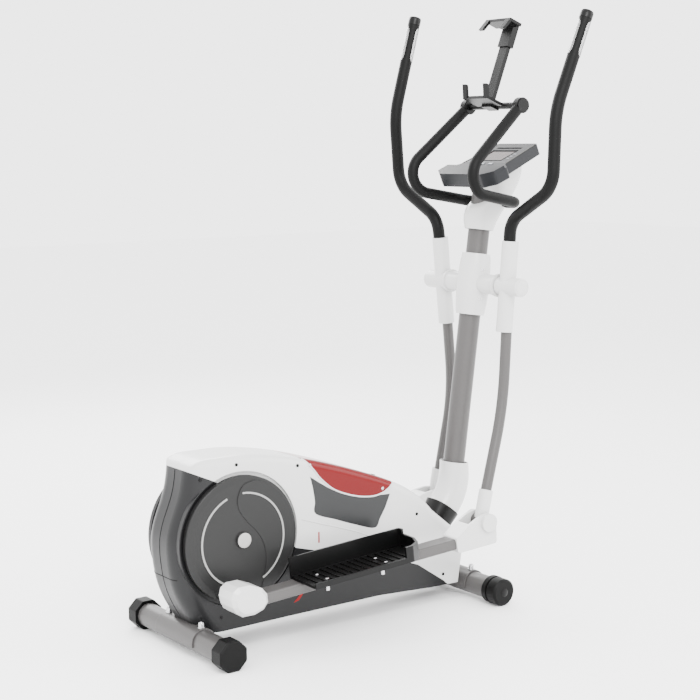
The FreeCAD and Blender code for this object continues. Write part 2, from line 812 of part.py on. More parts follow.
def drive_belt():
    """Poly-V belt round the drive pulley and the flywheel's small pulley."""
    gap = 0.3
    big, small = dim("pulley_radius") + gap, dim("small_pulley_radius") + gap
    centre_x, centre_z = fly.x - crank.x, fly.z - crank.z
    reach = math.hypot(centre_x, centre_z)
    lean = math.atan2(centre_z, centre_x)
    spread = math.acos((big - small) / reach)

    def band(extra):
        points = []
        for radius, cx, cz, sign in ((big, 0, 0, 1), (small, centre_x, centre_z, -1)):
            for turn in (1, -1):
                angle = lean + turn * spread
                points.append((V(cx, 0, cz), radius + extra, angle))
        solids = [cylinder_y(big + extra, pulley_y - 6, pulley_y + 6),
                  cylinder_y(small + extra, pulley_y - 6, pulley_y + 6, centre_x, centre_z)]
        corners = [(c.x + r * math.cos(a), c.z + r * math.sin(a)) for c, r, a in points]
        quad = [corners[0], corners[2], corners[3], corners[1]]
        solids.append(plate(quad, pulley_y - 6, pulley_y + 6))
        return fuse(solids)

    return band(dim("belt_thickness")).cut(band(0.0))


feature("drive_belt", drive_belt(), place(crank.x, 0, crank.z))


def brake_magnets():
    """Curved magnet shoe over the flywheel's rim, on a lever that pivots on the beam."""
    radius = dim("flywheel_radius")
    ring = cylinder_y(radius + 18, -44, -4).cut(cylinder_y(radius + 5, -45, -3))
    wedge = plate([(0, 0), (220, 60), (220, 190), (60, 220)], -50, 0)
    shoe = ring.common(wedge)
    lever = plate([(112, 58), (126, 52), (136, -40), (122, -46)], -30, -18)
    boss = cylinder_y(11, -34, -14, 128, -46)
    pin_hole = cylinder_y(5 + dim("running_gap"), -60, 20, 128, -46)
    return fuse([shoe, lever, boss]).cut(pin_hole)


feature("brake_magnets", brake_magnets(), place(fly.x, 0, fly.z))


# ---------------------------------------------------------------- swinging arms


def arm(name, side):
    """One swinging arm, in its own frame: the pivot axis is Y through its origin."""
    at = place(dim("pivot_ahead"), 0, dim("pivot_rise"), arm_turn(side))
    y = side * dim("arm_side")
    bar_y = side * dim("bar_side")
    joint = V(-dim("joint_back"), bar_y, -dim("joint_drop"))
    axle_bore = cylinder_y(dim("pivot_axle_radius") + dim("running_gap"), -200, 200)

    hub_low, hub_high = side * 107, side * 187.5
    lower_path = rounded_path([(4, y, 30), (8, side * 141, -320), joint + V(-3, 0, 0)], [700])
    bush = cylinder_y(19, bar_y - 19, bar_y + 19, joint.x, joint.z)
    pin_bore = cylinder_y(dim("pin_radius") + dim("running_gap"), -250, 250, joint.x, joint.z)
    tube = swept(lower_path, dim("arm_tube_radius"))
    inside = swept(lower_path, dim("arm_tube_radius") - dim("arm_wall"))
    hub = cylinder_y(dim("hub_radius"), hub_low, hub_high)
    tube_solid = fuse([tube.cut(inside), hub, bush]).cut(axle_bore).cut(pin_bore)
    feature(f"arm_tube_{name}", tube_solid, at)

    shaft = Part.makeCylinder(dim("sleeve_radius"), 240, V(0, y, -121), Z_AXIS)
    cover_high = side * 192
    boss = cylinder_y(dim("hub_cover_radius"), hub_low, cover_high)
    core = cylinder_y(dim("hub_radius"), side * 100, side * 188.5)
    channel = Part.makeCylinder(16.6, 260, V(0, y, -130), Z_AXIS)
    sleeve = fuse([shaft, boss])
    rim = [e for e in sleeve.Edges if abs(e.CenterOfMass.y - cover_high) < 0.01]
    sleeve = sleeve.makeFillet(3, rim).cut(fuse([core, channel, tube]))
    feature(f"arm_sleeve_{name}", sleeve, at)

    cuff_path = rounded_path([(joint.x + 15, side * 161, joint.z + 80),
                              (joint.x + 6, side * 164.5, joint.z + 40), joint + V(0, 0, 6)], [200])
    cuff = swept(cuff_path, 18.5).cut(tube).cut(bush)
    feature(f"arm_cuff_{name}", cuff.cut(cylinder_y(20, -250, 250, joint.x, joint.z)), at)

    top = V(81, side * 274, 716)
    handle_path = rounded_path([(0, y, 31), (-5, y, 172), (-8, side * 290, 262),
                                (-10, side * 282, 460), top], [60, 75, 260])
    core_tube = swept(handle_path, dim("handle_radius"))
    hollow = swept(handle_path, dim("handle_radius") - dim("arm_wall"))
    feature(f"handle_tube_{name}", core_tube.cut(hollow).cut(swept(lower_path, 15)), at)

    grip = swept(handle_path, dim("grip_radius")).cut(core_tube)
    below = Part.makeBox(200, 200, 100, V(-100, y - 100, 19.3))
    feature(f"handle_grip_{name}", grip.cut(below), at)


for name, side in SIDES.items():
    arm(name, side)

# ---------------------------------------------------------------- pedal bars

LINE_START = -5.3  # height of the bar's tube over the crank pin, in the bar's frame
LINE_SLOPE = -0.0427
CLEVIS_OUTLINE = [(652, -56), (650, -18), (697, 9), (732, 22), (762, 26), (782, 14), (787, -10), (784, -62)]
PEDAL_OUTLINE = [(170, -28), (165, 92), (462, 92), (492, 74), (508, 40), (512, -28)]


def line_up(along):
    """Height of the tube's centre line at a distance along the bar."""
    return LINE_START + LINE_SLOPE * along


def bar_plate(low_ahead, high_ahead, half_width, half_height, y):
    """A straight run of the bar's rounded section, in the bar's frame."""
    start, end = line_up(low_ahead), line_up(high_ahead)
    corners = [(low_ahead, start - half_height), (high_ahead, end - half_height),
               (high_ahead, end + half_height), (low_ahead, start + half_height)]
    solid = plate(corners, y - half_width, y + half_width)
    along = [e for e in solid.Edges if abs(e.tangentAt(e.FirstParameter).x) > 0.9]
    return solid.makeFillet(min(half_height, half_width) * 0.45, along)


def pedal_bar(name, side):
    """One pedal bar, in its own frame: the crank pin's axis is Y through its origin."""
    pin_ahead, pin_rise = pin_point(side)
    at = place(pin_ahead, 0, pin_rise, bar_turn(side))
    y = side * dim("bar_side")
    half_w, half_h, wall = dim("bar_width") / 2, dim("bar_height") / 2, dim("bar_wall")
    far = dim("bar_length")

    tube = bar_plate(12, 664, half_w, half_h, y)
    inner = bar_plate(30, 665, half_w - wall, half_h - wall, y)
    bearing = cylinder_y(20, y - 22, y + 22)
    crank_pin = cylinder_y(dim("pin_radius"), side * dim("pin_inner_side"), y)
    feature(f"pedal_bar_{name}", fuse([tube.cut(inner), bearing, crank_pin]), at)

    outline = [(-30, -2), (-33, 18), (-26, 36), (-10, 44), (22, 41), (54, 24), (66, 6), (66, -14),
               (52, -28), (26, -34), (-8, -30), (-24, -16)]
    housing = plate(outline, side * 137, side * 203)
    rim = [e for e in housing.Edges if abs(e.CenterOfMass.y - side * 203) < 0.01]
    housing = housing.makeChamfer(9, rim)
    pocket = plate([(-26, 0), (-29, 17), (-23, 33), (-9, 40), (21, 37), (51, 21), (62, 5), (62, -12),
                    (50, -24), (25, -30), (-7, -26), (-21, -13)], side * 139, side * 192)
    housing = housing.cut(pocket).cut(cylinder_y(16, 0, side * 140))
    housing = housing.cut(bar_plate(12, 100, half_w + 0.1, half_h + 0.1, y))
    feature(f"bar_housing_{name}", housing, at)

    half = dim("clevis_width") / 2
    clevis = plate(CLEVIS_OUTLINE, y - half, y + half, 8)
    slot = plate([(700, -34), (700, 90), (830, 90), (830, -34)],
                 y - dim("fork_width") / 2, y + dim("fork_width") / 2)
    socket = bar_plate(600, 664.5, half_w, half_h, y)
    caps = [cylinder_y(24, y + s * half, y + s * (half + 9), far) for s in (-1, 1)]
    clevis = fuse([clevis.cut(slot).cut(socket)] + caps)
    pin = cylinder_y(dim("pin_radius"), y - half - 2, y + half + 2, far)
    feature(f"clevis_{name}", fuse([clevis, pin]), at)

    pedal(name, side, at)


def pedal(name, side, at):
    """Foot pedal: a ribbed tray with a raised inner wall and a toe wall, bolted on the bar."""
    bar_y = side * dim("bar_side")

    def flat(outline, low, high):
        points = [V(a, bar_y + side * s, low + line_up(a)) for a, s in outline]
        wire = Part.makePolygon(points + points[:1])
        return Part.Face(wire).extrude(V(0, 0, high - low))

    ground = dim("bar_height") / 2 + 0.5
    tray = flat(PEDAL_OUTLINE, ground, ground + 54)
    upright = [e for e in tray.Edges if abs(e.tangentAt(e.FirstParameter).z) > 0.99]
    front_corners = [e for e in upright if e.CenterOfMass.x > 400]
    tray = tray.makeFillet(8, front_corners)
    room = [(150, -22), (150, 86), (459, 86), (486, 70), (502, 38), (506, -22)]
    tray = tray.cut(flat(room, ground + 7, ground + 80))
    outer_low = flat([(140, -10), (140, 120), (440, 120), (440, -10)], ground + 14, ground + 90)
    toe_low = flat([(440, -10), (440, 120), (540, 120), (540, -10)], ground + 42, ground + 90)
    tray = tray.cut(outer_low).cut(toe_low)
    ribs = []
    for i in range(14):
        start = 184 + i * 21
        ribs.append(flat([(start, -14), (start, 84), (start + 6, 84), (start + 6, -14)],
                         ground + 6.5, ground + 10))
    solid = fuse([tray] + ribs)
    feature(f"pedal_{name}", solid, at)


def pedal_bolts(name, side):
    """Two bolts with washers under the bar that hold the pedal."""
    pin_ahead, pin_rise = pin_point(side)
    at = place(pin_ahead, 0, pin_rise, bar_turn(side))
    y = side * dim("bar_side")
    heads = []
    down = V(LINE_SLOPE, 0, -1).normalize()
    for ahead in (258.0, 258.0 + dim("pedal_bolt_spacing")):
        seat = V(ahead, y, line_up(ahead)) + down * (dim("bar_height") / 2 + 0.02)
        washer = Part.makeCylinder(9, 2, seat, down)
        head = Part.makeCylinder(6, 16, seat, down)
        heads.append(fuse([washer, head]))
    feature(f"pedal_bolts_{name}", Part.makeCompound(heads), at)


for name, side in SIDES.items():
    pedal_bar(name, side)
    pedal_bolts(name, side)

# ---------------------------------------------------------------- fixed handlebar, neck, console

CROSS = V(990, 0, 1058)
ROD = V(988, 0, 1316)  # axis of the tablet holder's cross rod


def knuckle(side):
    """Round end of the fixed handlebar that carries the tablet holder's cross rod."""
    body = cylinder_y(19, side * 95.5, side * 120, ROD.x, ROD.z)
    return body.fuse(cylinder_y(21, side * 99, side * 116, ROD.x, ROD.z))


def handlebar_path(side):
    return rounded_path([(CROSS.x, 0, CROSS.z), (CROSS.x, side * 98, CROSS.z),
                         (740, side * 135, 1104), (ROD.x, side * 107, ROD.z)], [34, 55])


def handlebar():
    sides = [swept(handlebar_path(s), dim("bar_tube_radius")) for s in (-1, 1)]
    inner = [swept(handlebar_path(s), dim("bar_tube_radius") - 2) for s in (-1, 1)]
    knuckles = [knuckle(s) for s in (-1, 1)]
    bore = cylinder_y(dim("trunnion_radius") + dim("running_gap"), -111, 111, ROD.x, ROD.z)
    return fuse([fuse(sides).cut(fuse(inner))] + knuckles).cut(bore)


def handlebar_grips():
    """Foam sleeves over the bent ends of the fixed handlebar."""
    middle = block((900, -52, 1000), (1080, 52, 1120))
    sleeves = []
    for side in (-1, 1):
        path = handlebar_path(side)
        sleeve = swept(path, dim("bar_grip_radius")).cut(swept(path, dim("bar_tube_radius")))
        sleeves.append(sleeve.cut(middle).cut(cylinder_y(21.3, side * 80, side * 126, ROD.x, ROD.z)))
    return Part.makeCompound(sleeves)


feature("handlebar", handlebar(), place())
feature("handlebar_grips", handlebar_grips(), place())

CONSOLE_CORNER = V(882, 0, 1101)
console_at = place(CONSOLE_CORNER.x, 0, CONSOLE_CORNER.z, -dim("console_tilt"))
tilt = math.radians(dim("console_tilt"))
console_x = V(math.cos(tilt), 0, math.sin(tilt))
console_z = V(-math.sin(tilt), 0, math.cos(tilt))


def console_point(along, up):
    return CONSOLE_CORNER + console_x * along + console_z * up


def neck_cover():
    """White cover from the mast up to the console."""
    def skin(inset):
        return loft([section(mast_lean_at(985 - inset), MAST_ACROSS, Y_AXIS, 38 - inset, 38 - inset, 2.1),
                     section(mast_lean_at(1040) + V(12, 0, 0), MAST_ACROSS, Y_AXIS,
                             50 - inset, 42 - inset, 2.5),
                     section(console_point(112, -42), console_x, Y_AXIS, 66 - inset, 50 - inset, 3.0),
                     section(console_point(112, -2.5 + inset), console_x, Y_AXIS,
                             74 - inset, 58 - inset, 3.4)])
    cross = cylinder_y(dim("bar_tube_radius") + 0.2, -100, 100, CROSS.x, CROSS.z)
    return skin(0.0).cut(skin(3.0)).cut(cross).cut(mast_clear)


feature("neck_cover", neck_cover(), place())

CONSOLE_OUTLINE = [(0, -84), (0, 84), (22, 116), (66, 118), (84, 92), (222, 80), (222, -80),
                   (84, -92), (66, -118), (22, -116)]


def flat_plate(outline, low, high):
    points = [V(a, s, low) for a, s in outline]
    return Part.Face(Part.makePolygon(points + points[:1])).extrude(V(0, 0, high - low))


BUTTONS_ALONG = 84.0
BUTTON_SIDES = {"left": 34.0, "middle": 0.0, "right": -34.0}


def console_housing():
    """Console: a tapered panel with a wider ledge at its lower end."""
    deep = dim("console_thickness")
    solid = flat_plate(CONSOLE_OUTLINE, 0, deep)
    upright = [e for e in solid.Edges if abs(e.tangentAt(e.FirstParameter).z) > 0.99]
    solid = solid.makeFillet(8, upright)
    ledge = flat_plate([(0, -84), (0, 84), (22, 116), (60, 117), (60, -117), (22, -116)], deep - 1, deep + 8)
    solid = solid.fuse(ledge)
    under = flat_plate([(3, -81), (3, 81), (24, 112), (64, 114), (81, 88), (218, 76), (218, -76),
                        (81, -88), (64, -114), (24, -112)], -1, deep - 4)
    floor = flat_plate([(3, -81), (3, 81), (24, 112), (64, 114), (81, 88), (218, 76), (218, -76),
                        (81, -88), (64, -114), (24, -112)], 0, 2.5)
    solid = fuse([solid.cut(under), floor])
    screen = block((112, -46, deep - 3), (172, 46, deep + 5))
    slot = block((186, -50, deep - 3), (194, 50, deep + 5))
    solid = solid.cut(screen).cut(slot)
    for side in BUTTON_SIDES.values():
        half_d, half_w = dim("button_depth") / 2 + 0.4, dim("button_width") / 2 + 0.4
        solid = solid.cut(block((BUTTONS_ALONG - half_d, side - half_w, deep - 6),
                                (BUTTONS_ALONG + half_d, side + half_w, deep + 5)))
    return solid


feature("console_housing", console_housing(), console_at)
deep = dim("console_thickness")
feature("console_screen", block((112.3, -45.7, deep - 3), (171.7, 45.7, deep - 1)), console_at)
for name, side in BUTTON_SIDES.items():
    half_d, half_w = dim("button_depth") / 2, dim("button_width") / 2
    button = block((BUTTONS_ALONG - half_d, side - half_w, deep - 3.9),
                   (BUTTONS_ALONG + half_d, side + half_w, deep - 3.9 + dim("button_height")))
    feature(f"console_button_{name}", button, console_at)

# ---------------------------------------------------------------- tablet holder

holder_at = place(ROD.x, 0, ROD.z, dim("holder_lean"))


def holder_frame():
    """Cross rod between the handlebar's ends, a spine and the fixed lower claw."""
    rod = cylinder_y(9, -95.2, 95.2).fuse(cylinder_y(dim("trunnion_radius"), -110, 110))
    spine = block((-26, -16, -6), (-14, 16, 215))
    bridge = block((-26, -20, -12), (4, 20, 12))
    seat = block((-70, -50, -6), (-14, 50, 2))
    prong = [(-70, -6), (-61, -6), (-78, 30), (-86, 30)]
    prongs = [plate(prong, s * 42 - 8, s * 42 + 8) for s in (-1, 1)]
    return fuse([rod, spine, bridge, seat] + prongs)


def holder_claw():
    """Upper claw, which slides along the spine to clamp a tablet."""
    sleeve = block((-30, -21, 160), (-10, 21, 226)).cut(block((-26.3, -16.3, 100), (-13.7, 16.3, 300)))
    roof = block((-70, -50, 214), (-28, 50, 222))
    prong = [(-70, 222), (-61, 222), (-78, 186), (-86, 186)]
    prongs = [plate(prong, s * 42 - 8, s * 42 + 8) for s in (-1, 1)]
    return fuse([sleeve, roof] + prongs)


feature("holder_frame", holder_frame(), holder_at)
feature("holder_claw", holder_claw(), holder_at)

# ---------------------------------------------------------------- checks and export

doc.recompute()
for made in doc.Objects:
    if "Invalid" in made.State or "Error" in made.State:
        raise RuntimeError(f"{made.Label} failed: {made.State}")
os.makedirs("parts", exist_ok=True)
for made in parts:
    shape = made.Shape
    if shape.isNull() or not shape.isValid():
        raise RuntimeError(f"{made.Label} has no valid shape")
    if not shape.Solids:
        raise RuntimeError(f"{made.Label} has no solid")
    shape.exportStep(f"parts/{made.Label}.step")
box = Part.makeCompound([made.Shape for made in parts]).BoundBox
print(f"{len(parts)} parts, box {box}")
for name, side in SIDES.items():
    print(name, "arm turn", round(arm_turn(side), 3), "joint", joint_point(side), "pin", pin_point(side))
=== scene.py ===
import math

import bmesh
import bpy
from mathutils import Matrix, Vector
from mathutils.bvhtree import BVHTree


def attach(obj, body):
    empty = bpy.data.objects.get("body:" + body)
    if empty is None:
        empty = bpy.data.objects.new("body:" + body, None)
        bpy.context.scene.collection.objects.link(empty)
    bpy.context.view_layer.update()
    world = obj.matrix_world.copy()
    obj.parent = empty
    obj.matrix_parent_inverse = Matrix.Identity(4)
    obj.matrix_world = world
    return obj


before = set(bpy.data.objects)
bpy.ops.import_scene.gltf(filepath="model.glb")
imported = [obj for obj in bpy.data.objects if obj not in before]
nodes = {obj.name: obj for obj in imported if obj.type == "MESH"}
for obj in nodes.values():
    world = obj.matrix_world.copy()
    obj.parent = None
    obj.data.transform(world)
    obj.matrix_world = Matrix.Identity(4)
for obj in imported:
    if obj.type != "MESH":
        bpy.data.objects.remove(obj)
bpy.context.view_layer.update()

# Sizes below are in millimetres: ahead of the rear stabiliser, to the user's left, above the floor.

OFFSET = 516.0
SIDES = {"right": -1, "left": 1}
CRANK = (115.0, 271.0)
THROW = 139.6  # from the crank's centre to each pin
LAG = math.radians(27.7)  # of the right pin, behind straight down
PIVOT = (921.0, 841.0)  # of both arms
HINGE_ON_ARM = (-62.0, -619.0)  # in the arm's own frame
BAR_LENGTH = 759.5  # from the crank pin to the hinge
SCREW_COUNT = 20  # corners round a screw head
SHARP_ANGLE = math.radians(35)
CLEAR = 200  # a distance that lies well clear of the casing


def spot(ahead, side, rise):
    """A point in the scene's frame, in metres."""
    return Vector(((ahead - OFFSET) / 1000, side / 1000, rise / 1000))


def turns_at_rest(pin):
    """The turns of the pedal bar and of the arm that meet at their hinge."""
    arm_length = math.hypot(*HINGE_ON_ARM)
    span = math.dist(pin, PIVOT)
    lean = math.atan2(PIVOT[1] - pin[1], PIVOT[0] - pin[0])
    bar = lean - math.acos((BAR_LENGTH**2 + span**2 - arm_length**2) / (2 * BAR_LENGTH * span))
    back = PIVOT[0] - pin[0] - BAR_LENGTH * math.cos(bar)
    drop = PIVOT[1] - pin[1] - BAR_LENGTH * math.sin(bar)
    return bar, math.atan2(back, drop) - math.atan2(-HINGE_ON_ARM[0], -HINGE_ON_ARM[1])


PIN, BAR_TURN, ARM_TURN = {}, {}, {}
for name, side in SIDES.items():
    PIN[name] = (CRANK[0] + side * THROW * math.sin(LAG), CRANK[1] + side * THROW * math.cos(LAG))
    BAR_TURN[name], ARM_TURN[name] = turns_at_rest(PIN[name])


# ---------------------------------------------------------------- materials


def new_material(name, color, roughness, metallic=0.0, coat=0.0, shine=0.5):
    """A principled material with plain values on the shader's own sockets."""
    made = bpy.data.materials.new(name)
    made.use_nodes = True
    shader = made.node_tree.nodes["Principled BSDF"]
    shader.inputs["Base Color"].default_value = (*color, 1)
    shader.inputs["Roughness"].default_value = roughness
    shader.inputs["Metallic"].default_value = metallic
    shader.inputs["Specular IOR Level"].default_value = shine
    shader.inputs["Coat Weight"].default_value = coat
    shader.inputs["Coat Roughness"].default_value = 0.08
    return made


def add_grain(made, scale, strength, distance, edge=0.0008):
    """Fine surface grain, over edges softened by edge metres."""
    tree = made.node_tree
    shader = tree.nodes["Principled BSDF"]
    place = tree.nodes.new("ShaderNodeTexCoord")
    noise = tree.nodes.new("ShaderNodeTexNoise")
    noise.inputs["Scale"].default_value = scale
    noise.inputs["Detail"].default_value = 3.0
    bump = tree.nodes.new("ShaderNodeBump")
    bump.inputs["Strength"].default_value = strength
    bump.inputs["Distance"].default_value = distance
    tree.links.new(place.outputs["Object"], noise.inputs["Vector"])
    tree.links.new(noise.outputs["Fac"], bump.inputs["Height"])
    if edge:
        rounded = tree.nodes.new("ShaderNodeBevel")
        rounded.samples = 4
        rounded.inputs["Radius"].default_value = edge
        tree.links.new(rounded.outputs["Normal"], bump.inputs["Normal"])
    tree.links.new(bump.outputs["Normal"], shader.inputs["Normal"])
    return made


def add_wear(made, scale, low, high):
    """Roughness that varies a little over the surface."""
    tree = made.node_tree
    place = tree.nodes.new("ShaderNodeTexCoord")
    noise = tree.nodes.new("ShaderNodeTexNoise")
    noise.inputs["Scale"].default_value = scale
    spread = tree.nodes.new("ShaderNodeMapRange")
    spread.inputs["To Min"].default_value = low
    spread.inputs["To Max"].default_value = high
    tree.links.new(place.outputs["Object"], noise.inputs["Vector"])
    tree.links.new(noise.outputs["Fac"], spread.inputs["Value"])
    tree.links.new(spread.outputs["Result"], tree.nodes["Principled BSDF"].inputs["Roughness"])
    return made


def add_flakes(made, color, spread):
    """Metallic paint: tiny flakes vary the colour about its mean."""
    tree = made.node_tree
    place = tree.nodes.new("ShaderNodeTexCoord")
    noise = tree.nodes.new("ShaderNodeTexNoise")
    noise.inputs["Scale"].default_value = 900
    ramp = tree.nodes.new("ShaderNodeValToRGB")
    ramp.color_ramp.elements[0].position = 0.35
    ramp.color_ramp.elements[0].color = (*[c * (1 - spread) for c in color], 1)
    ramp.color_ramp.elements[1].position = 0.65
    ramp.color_ramp.elements[1].color = (*[c * (1 + spread) for c in color], 1)
    tree.links.new(place.outputs["Object"], noise.inputs["Vector"])
    tree.links.new(noise.outputs["Fac"], ramp.inputs["Fac"])
    tree.links.new(ramp.outputs["Color"], tree.nodes["Principled BSDF"].inputs["Base Color"])
    return made


MATERIALS = {}


def grained(name, color, roughness, grain, metallic=0.0, coat=0.0, shine=0.5):
    """Adds a plain material with add_grain's scale, strength, distance and perhaps edge."""
    made = add_grain(new_material(name, color, roughness, metallic, coat, shine), *grain)
    MATERIALS[name] = made
    return made


SILVER = (0.062, 0.059, 0.058)
BLACK = (0.002, 0.002, 0.002)
grained("white_plastic", (0.52, 0.52, 0.515), 0.26, (700, 0.05, 0.0003, 0.0015), coat=0.1)
grained("dark_plastic", (0.007, 0.007, 0.0075), 0.34, (900, 0.12, 0.0003, 0.0015), shine=0.22)
grained("disc_plastic", (0.012, 0.012, 0.012), 0.4, (1200, 0.2, 0.0003), shine=0.2)
grained("red_gloss", (0.105, 0.0008, 0.0016), 0.14, (500, 0.03, 0.0002), coat=0.06, shine=0.15)
silver_base = new_material("silver_paint", SILVER, 0.36, 0.2, shine=0.3)
MATERIALS["silver_paint"] = add_grain(add_flakes(silver_base, SILVER, 0.15), 1100, 0.08, 0.0002, 0.002)
grained("black_rubber", BLACK, 0.5, (1500, 0.3, 0.0005), shine=0.1)
foam_base = new_material("black_foam", BLACK, 0.5, shine=0.1)
MATERIALS["black_foam"] = add_grain(add_wear(foam_base, 300, 0.42, 0.6), 1800, 0.4, 0.0006, 0.0)
grained("black_plastic", BLACK, 0.34, (1000, 0.04, 0.0002), shine=0.15)
grained("black_paint", BLACK, 0.35, (800, 0.1, 0.0002), shine=0.15)
grained("console_grey", (0.011, 0.0115, 0.013), 0.4, (1100, 0.12, 0.0003, 0.002), shine=0.15)
grained("screen_glass", (0.03, 0.014, 0.011), 0.18, (400, 0.02, 0.0001), coat=0.05, shine=0.15)
grained("button_silver", (0.22, 0.23, 0.25), 0.3, (900, 0.1, 0.0002, 0.0), metallic=0.3)
grained("chrome_bolts", (0.5, 0.5, 0.51), 0.16, (600, 0.05, 0.0002, 0.0), metallic=1.0)
steel_base = new_material("steel", (0.4, 0.4, 0.41), 0.3, 1.0)
MATERIALS["steel"] = add_wear(steel_base, 400, 0.25, 0.4)
grained("cast_wheel", (0.08, 0.08, 0.085), 0.6, (500, 0.6, 0.001), metallic=0.6)
grained("belt_rubber", (0.01, 0.01, 0.01), 0.7, (900, 0.3, 0.0005))
magnet_base = new_material("magnet_steel", (0.07, 0.07, 0.08), 0.5, 0.6)
MATERIALS["magnet_steel"] = add_wear(magnet_base, 300, 0.4, 0.6)
DECAL_GREY = grained("decal_grey", (0.018, 0.0185, 0.019), 0.25, (600, 0.03, 0.0002, 0.0), shine=0.2)
DECAL_RED = grained("decal_red", (0.22, 0.0015, 0.003), 0.3, (600, 0.03, 0.0002, 0.0), shine=0.15)
SEAM_BLACK = grained("seam_black", BLACK, 0.7, (900, 0.1, 0.0002, 0.0), shine=0.1)
ARC_SILVER = grained("arc_silver", (0.22, 0.22, 0.215), 0.4, (900, 0.05, 0.0002, 0.0), shine=0.3)
BOSS_GREY = grained("boss_grey", (0.32, 0.31, 0.3), 0.4, (900, 0.1, 0.0002, 0.0), shine=0.3)
PULSE_CHROME = grained("pulse_chrome", (0.5, 0.5, 0.5), 0.2, (900, 0.05, 0.0002, 0.0), metallic=1.0)
# A lighter grey painted as the highlight along the console's side edges, where the edges catch light.
CONSOLE_PAINTED_HIGHLIGHT = grained("console_painted_highlight", (0.05, 0.048, 0.043), 0.45, (900, 0.2, 0.0004, 0.0), shine=0.2)

NODE_FINISH = {
    "main_beam": "silver_paint", "rear_stabiliser": "silver_paint", "front_stabiliser": "silver_paint",
    "mast": "silver_paint", "arm_tube": "silver_paint", "pedal_bar": "silver_paint",
    "stabiliser_bolts": "chrome_bolts", "pedal_bolts": "chrome_bolts",
    "rear_cap": "black_rubber", "front_caps": "black_rubber", "transport_roller": "black_rubber",
    "mast_collar": "black_plastic", "mast_boot": "white_plastic", "pivot_cover": "white_plastic",
    "neck_cover": "white_plastic", "upper_casing": "white_plastic", "arm_sleeve": "white_plastic",
    "arm_cuff": "white_plastic", "bar_housing": "white_plastic", "clevis": "white_plastic",
    "lower_casing": "dark_plastic", "top_panel": "red_gloss", "casing_screws": "black_plastic",
    "crank_disc": "disc_plastic", "pedal_left": "black_plastic", "pedal_right": "black_plastic",
    "handle_tube": "black_paint", "handlebar": "black_paint", "handlebar_grips": "black_foam",
    "handle_grip": "black_foam", "console_housing": "console_grey", "console_screen": "screen_glass",
    "console_button": "button_silver", "holder_frame": "black_plastic", "holder_claw": "black_plastic",
    "pivot_axle": "steel", "crank_axle": "steel", "crank_bearing_shell": "black_paint",
    "flywheel_bracket": "black_paint", "drive_pulley": "black_plastic", "flywheel": "cast_wheel",
    "drive_belt": "belt_rubber", "brake_magnets": "magnet_steel",
}


def finish_of(name):
    """The finish of the longest matching start of a node's name."""
    fitting = [start for start in NODE_FINISH if name.startswith(start)]
    return NODE_FINISH[max(fitting, key=len)]


for name, node in nodes.items():
    node.data.materials.clear()
    node.data.materials.append(MATERIALS[finish_of(name)])

# ---------------------------------------------------------------- piece builders


def settle(name, shape, paint, body):
    """Turns a bmesh into a piece with its material, its finish and the body it rides on."""
    bmesh.ops.recalc_face_normals(shape, faces=shape.faces)
    mesh = bpy.data.meshes.new(name)
    shape.to_mesh(mesh)
    shape.free()
    mesh.materials.append(paint)
    made = bpy.data.objects.new(name, mesh)
    bpy.context.scene.collection.objects.link(made)
    mesh.shade_smooth()
    mesh.set_sharp_from_angle(angle=SHARP_ANGLE)
    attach(made, body)


def plate(name, corners, lift, paint, body, edge):
    """A flat plate drawn out of a face by lift, with the far face's edges softened."""
    shape = bmesh.new()
    face = shape.faces.new([shape.verts.new(corner) for corner in corners])
    grown = bmesh.ops.extrude_face_region(shape, geom=[face])
    moved = [v for v in grown["geom"] if isinstance(v, bmesh.types.BMVert)]
    bmesh.ops.translate(shape, verts=moved, vec=lift)
    if edge:
        rim = [e for e in shape.edges if all(v in moved for v in e.verts)]
        bmesh.ops.bevel(shape, geom=rim, offset=edge / 1000, segments=2, affect="EDGES")
    settle(name, shape, paint, body)


def slab(name, outline, low, high, paint, body, edge):
    """An upright plate from an outline of (ahead, rise) corners, between two sides."""
    lift = Vector((0, (high - low) / 1000, 0))
    plate(name, [spot(a, low, r) for a, r in outline], lift, paint, body, edge)


def cap_ends(shape, rings):
    """Closes the two ends of a run of rings."""
    shape.faces.new(rings[0])
    shape.faces.new(list(reversed(rings[-1])))


def lathe(name, profile, origin, axis, paint, body, count=40):
    """A turned piece: (radius, along) corners in millimetres about an axis through origin."""
    shape = bmesh.new()
    turn = Vector((0, 0, 1)).rotation_difference(axis)
    rings = []
    for radius, along in profile:
        ring = []
        for i in range(count):
            angle = 2 * math.pi * i / count
            local = Vector((radius * math.cos(angle), radius * math.sin(angle), along)) / 1000
            ring.append(shape.verts.new(origin + turn @ local))
        rings.append(ring)
    for a, b in zip(rings, rings[1:]):
        for i in range(count):
            j = (i + 1) % count
            shape.faces.new((a[i], a[j], b[j], b[i]))
    cap_ends(shape, rings)
    settle(name, shape, paint, body)


def bead(name, points, radius, paint, body):
    """A thin round bead along points, each ring joined on from the nearest corner of the next."""
    count = 8
    shape = bmesh.new()
    rings = []
    for i, point in enumerate(points):
        before, after = points[max(i - 1, 0)], points[min(i + 1, len(points) - 1)]
        turn = Vector((0, 0, 1)).rotation_difference((after - before).normalized())
        ring = []
        for k in range(count):
            angle = 2 * math.pi * k / count
            local = Vector((math.cos(angle), math.sin(angle), 0)) * radius / 1000
            ring.append(shape.verts.new(point + turn @ local))
        rings.append(ring)
    for a, b in zip(rings, rings[1:]):
        start = min(range(count), key=lambda k: (b[k].co - a[0].co).length)
        for k in range(count):
            m, n = (start + k) % count, (start + k + 1) % count
            shape.faces.new((a[k], a[(k + 1) % count], b[n], b[m]))
    cap_ends(shape, rings)
    settle(name, shape, paint, body)


def arc_points(radius, start, end):
    """Points on a circle about the crank, with angles in degrees from straight up towards +X."""
    count = 28
    angles = [math.radians(start + (end - start) * i / count) for i in range(count + 1)]
    return [(CRANK[0] + radius * math.sin(t), CRANK[1] + radius * math.cos(t)) for t in angles]


